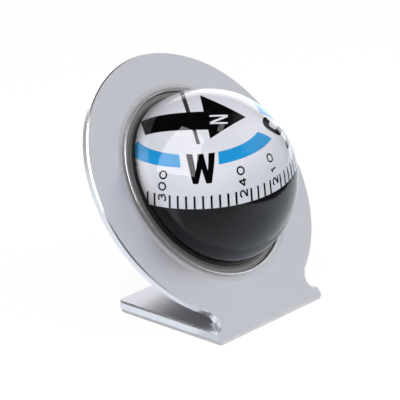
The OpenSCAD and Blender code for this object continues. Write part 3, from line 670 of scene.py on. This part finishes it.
# %% Give the finishes
for piece, finish in [(dial_shell, white_plastic), (north_arrow, black_ink), (cross_line, grey_ink),
                      (arrow_letter, white_ink), (blue_arcs, blue_ink), (cardinal_letters, black_ink),
                      (degree_ticks, black_ink), (degree_numbers, black_ink), (dome, clear_acrylic)]:
    piece.data.materials.append(finish)
for finish in (acrylic_to_liquid, dome_shoulder, foot_shade_band):
    dome.data.materials.append(finish)
middles = np.empty(len(dome.data.polygons) * 3)
dome.data.polygons.foreach_get("center", middles)
local = (middles.reshape(-1, 3) / MM - face_origin) @ face_axes
from_axis = np.hypot(local[:, 0], local[:, 1])
from_centre = np.hypot(from_axis, np.maximum(local[:, 2] - FORWARD, 0))
wet = (from_centre < DOME_R - WALL / 2) & (from_axis < DOME_R - WALL / 2)
low = local[:, 2] < FORWARD
dome_finish = wet * 1 + (wet & low) * 2 + (~wet & low & (from_axis > DOME_R + 0.02)) * 2
dome.data.polygons.foreach_set("material_index", dome_finish.astype(np.int32))
print("dome faces in air, in liquid, on the shoulder and on the foot", np.bincount(dome_finish))

finishes = {
    "stand_plate": satin_silver, "foot_pad": white_foam, "mount_ring": black_foam,
    "dome_gasket": black_rubber, "rear_bowl": black_plastic, "clamp_ring": matt_black,
    "clamp_screws": steel, "diaphragm": black_rubber, "diaphragm_cover": matt_black,
    "cover_screws": steel, "filler_screw": brass, "filler_washer": black_rubber,
    "yoke": brass, "yoke_screws": steel, "gimbal_ring": brass, "gimbal_pins": steel,
    "inner_bowl": wet_black, "bridge": matt_black, "bridge_screws": steel,
    "ballast_ring": brass, "pivot_post": brass, "pivot_pin": steel,
    "dial_float": cream_foam, "magnet_carrier": brass, "magnets": magnet_iron,
    "jewel_holder": brass, "jewel_cup": red_jewel,
}
for name, finish in finishes.items():
    for mesh_slot in nodes[name].material_slots:
        mesh_slot.material = finish

# %% [markdown]
# ## Floor, room and lamps
# The compass stands on a pale floor in a pale room. Both look white to the camera and through
# glass, without sending extra light: that part of their brightness is only seen by camera and
# transmission rays. The dome and the metal mirror the room all round, so in mirrors it has a
# shape of its own. Above is a dark ceiling, with a soft glow at the front right that the plate
# faces. Behind are a white backdrop to the right and a low grey wall. The table is paler to
# the right, ends at the front, and is bright behind the plate and far off at the back.
# What is only seen in a second mirror is kept dark, which gives the dome its black crescent.

# %% Make the floor
floor_mesh = bpy.data.meshes.new("floor")
floor_mesh.from_pydata([(-3, -3, 0), (3, -3, 0), (3, 3, 0), (-3, 3, 0)], [], [(0, 1, 2, 3)])
floor = bpy.data.objects.new("floor", floor_mesh)
bpy.context.scene.collection.objects.link(floor)

FLOOR_WHITE, FLOOR_SHARE, MIRROR_SHARE, SECOND_MIRROR = 1.15, 0.8, 0.9, 0.1


def light_path(wire):
    """Three wires: seen plainly, seen in a mirror, and dimmed unless it is the first mirror.

    Plainly means by the camera, or through glass with no other bounce on the way."""
    camera_ray, mirror_ray = (wire.node("ShaderNodeLightPath", out=k) for k in (0, 3))
    through_glass, matt_bounces, gloss_bounces = (
        wire.node("ShaderNodeLightPath", out=k) for k in (6, 9, 10))
    direct = matt_bounces + gloss_bounces < 0.5
    dimmed = (gloss_bounces < 1.5) * (1 - SECOND_MIRROR) + SECOND_MIRROR
    return camera_ray.math("MAXIMUM", through_glass * direct), mirror_ray, dimmed


floor_finish, wire, coords = start_finish("pale_floor")
plain, mirrored, dimmed = light_path(wire)
# Bands of the floor: from where to where in metres, and how bright on either side.
to_right = coords.dot((1, 0, 0)).between(-0.065, 0.055, 0.46, 1.35)
far_right = coords.dot((1, 0, 0)).between(0.14, 0.2, 1.0, 0.3)
table_end = coords.dot((0.32, -0.95, 0)).between(0.108, 0.128, 1.0, 0.06)
behind = coords.dot((0, 1, 0)).between(-0.015, -0.005)
far_back = coords.dot((0.75, 0.66, 0)).between(0.2, 0.4, 0.0, 1.1)
in_mirror = ((to_right * far_right * table_end).math("MAXIMUM", behind) + far_back) * dimmed
speckle = noise(coords, 40.0).blend((0.86, 0.86, 0.87, 1), (0.88, 0.88, 0.89, 1))
matt = wire.node("ShaderNodeBsdfDiffuse", None, {"Color": speckle})
glow = wire.node("ShaderNodeEmission", None, {
    "Color": plain.blend((0.87, 0.94, 1, 1), (1, 1, 1, 1)),
    "Strength": plain * FLOOR_WHITE + (1 - plain) * in_mirror})
share = (plain * FLOOR_SHARE).math("MAXIMUM", mirrored * MIRROR_SHARE)
mixed = wire.node("ShaderNodeMixShader", None, {0: share, 1: matt, 2: glow})
floor.data.materials.append(end_finish(floor_finish, mixed))

# %% Light the room
world = bpy.data.worlds.new("room")
bpy.context.scene.world = world
world.use_nodes = True
world.node_tree.nodes.clear()
wire = Wire(world.node_tree)
direction = wire.node("ShaderNodeTexCoord", out=0)
plain, mirrored, dimmed = light_path(wire)
AMBIENT, CEILING, GLOW, BACKDROP, LOW_WALL = 0.3, 0.02, 0.78, 2.0, 0.4
height = direction.dot((0, 0, 1))
# Patches of the room: how nearly a mirrored ray has to point their way, as a cosine.
glow = direction.dot((0.72, -0.5, 0.48)).between(0.75, 0.97)
backdrop = direction.dot((0.75, 0.66, 0)).between(0.78, 0.86) * height.between(0.3, 0.65, 1.0, 0.0)
low_wall = direction.dot((0, 1, 0)).between(0.5, 0.8) * height.between(0.12, 0.35, 1.0, 0.0)
room_mirror = (CEILING + glow * GLOW + backdrop * BACKDROP + low_wall * LOW_WALL) * dimmed
mirror_share = mirrored * (1 - plain)
strength = plain + mirror_share * room_mirror + (1 - plain - mirror_share) * AMBIENT
back = wire.node("ShaderNodeBackground", None, {"Color": (1, 1, 1, 1), "Strength": strength})
back.node("ShaderNodeOutputWorld", None, {"Surface": back})

# %% [markdown]
# ## Soft lamps and the panels that shine in the dome
# Three large soft lamps light the surfaces, and are left out of reflections. Two panels do the
# opposite: they light nothing and are only seen as reflections, where they draw the pale
# window and the small streak on the dome.

# %% Set up the lamps
def softbox(name, place, aim, size, power, across=(1, 0, 0), in_mirrors=False):
    """A flat rectangular lamp at a place in millimetres, facing a point, with one side along `across`."""
    data = bpy.data.lights.new(name, "AREA")
    data.shape, data.size, data.size_y = "RECTANGLE", size[0] * MM, size[1] * MM
    data.energy = power
    lamp = bpy.data.objects.new(name, data)
    backward = (Vector(place) - Vector(aim)).normalized()
    side = (Vector(across) - backward * backward.dot(Vector(across))).normalized()
    lamp.matrix_world = Matrix((side, backward.cross(side), backward)).transposed().to_4x4()
    lamp.location = Vector(place) * MM
    lamp.visible_glossy, lamp.visible_diffuse, lamp.visible_camera = in_mirrors, not in_mirrors, False
    bpy.context.scene.collection.objects.link(lamp)


def panel(name, place, aim, size, light, across):
    """A lamp that is only seen in mirrors, of `light` watts to the square metre."""
    softbox(name, place, aim, size, light * size[0] * MM * size[1] * MM, across, True)


AIM = (0, 0, 35)
softbox("key_lamp", (-330, -480, 140), AIM, (380, 380), 0.97)
softbox("fill_lamp", (230, -490, 360), AIM, (400, 400), 0.9)
softbox("top_lamp", (-400, 50, 480), AIM, (460, 460), 0.7)
panel("window_panel", (-353, 27, 516), (192, -109, 305), (478, 678), 11.8, (-0.177, -0.97, 0.167))
panel("streak_panel", (70, -126, 613), AIM, (170, 55), 7.2, (-0.85, -0.53, 0))

# %% [markdown]
# ## The camera
# A camera is a place, a direction and a lens. These were found by fitting the outlines of the
# plate and the dome to the picture: a long lens, left of the face and a little above it.

# %% Set up the camera
AZIMUTH, ELEVATION, DISTANCE = math.radians(-49.42), math.radians(18.29), 337.1
TARGET = Vector((-27.63, -17.07, 37.92))
back_vector = Vector((math.sin(AZIMUTH) * math.cos(ELEVATION),
                      -math.cos(AZIMUTH) * math.cos(ELEVATION), math.sin(ELEVATION)))
camera_data = bpy.data.cameras.new("camera")
camera_data.lens, camera_data.sensor_width = 137.417, 36.0
camera_data.clip_start, camera_data.clip_end = 0.01, 20.0
camera = bpy.data.objects.new("camera", camera_data)
camera.location = (TARGET + back_vector * DISTANCE) * MM
camera.rotation_euler = (-back_vector).to_track_quat("-Z", "Y").to_euler()
bpy.context.scene.collection.objects.link(camera)
bpy.context.scene.camera = camera
bpy.context.scene.view_settings.view_transform = "Standard"
